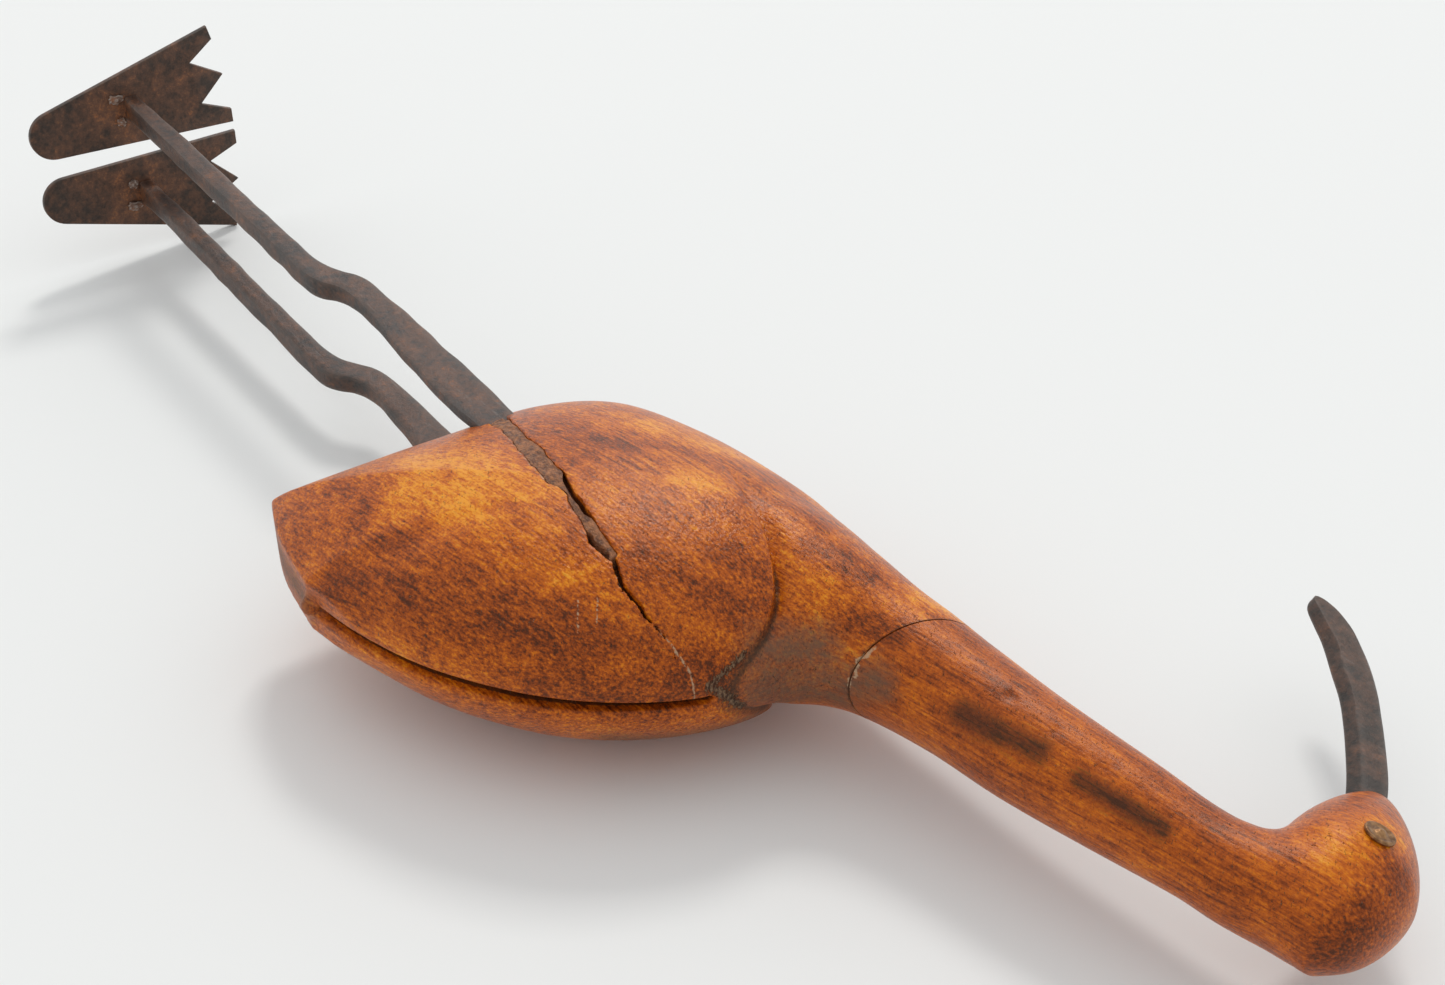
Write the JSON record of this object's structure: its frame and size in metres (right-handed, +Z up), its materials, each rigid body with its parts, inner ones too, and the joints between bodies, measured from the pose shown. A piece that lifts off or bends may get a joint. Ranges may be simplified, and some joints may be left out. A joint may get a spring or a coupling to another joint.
{
  "type": "standing crane figure",
  "caption": "Long-legged wooden bird figure lying on its side: carved body and neck, curved iron bill, iron legs on sheet-iron feet and domed tack eyes.",
  "frame": {"origin": "on the surface the figure lies on, under the middle of its bounding box", "axes": "the figure lies on its right side: +X from its feet to the top of its head, +Y to its breast and bill, +Z up, towards its left side"},
  "size_m": [0.602, 0.2416, 0.0927],
  "materials": {
    "wood": "worn amber varnish",
    "filler": "dull",
    "iron": "dark with rust",
    "weld": "rough",
    "brass": "aged"
  },
  "bodies": {
    "root": {"body": "wood", "split_filler": "filler", "neck_and_head": "wood", "neck_dowel": "wood", "beak": "iron", "left_eye": "brass", "right_eye": "brass", "left_leg": "iron", "left_foot": "iron", "left_foot_weld_outer": "weld", "left_foot_weld_inner": "weld", "right_leg": "iron", "right_foot": "iron", "right_foot_weld_outer": "weld", "right_foot_weld_inner": "weld"}
  },
  "joints": []
}
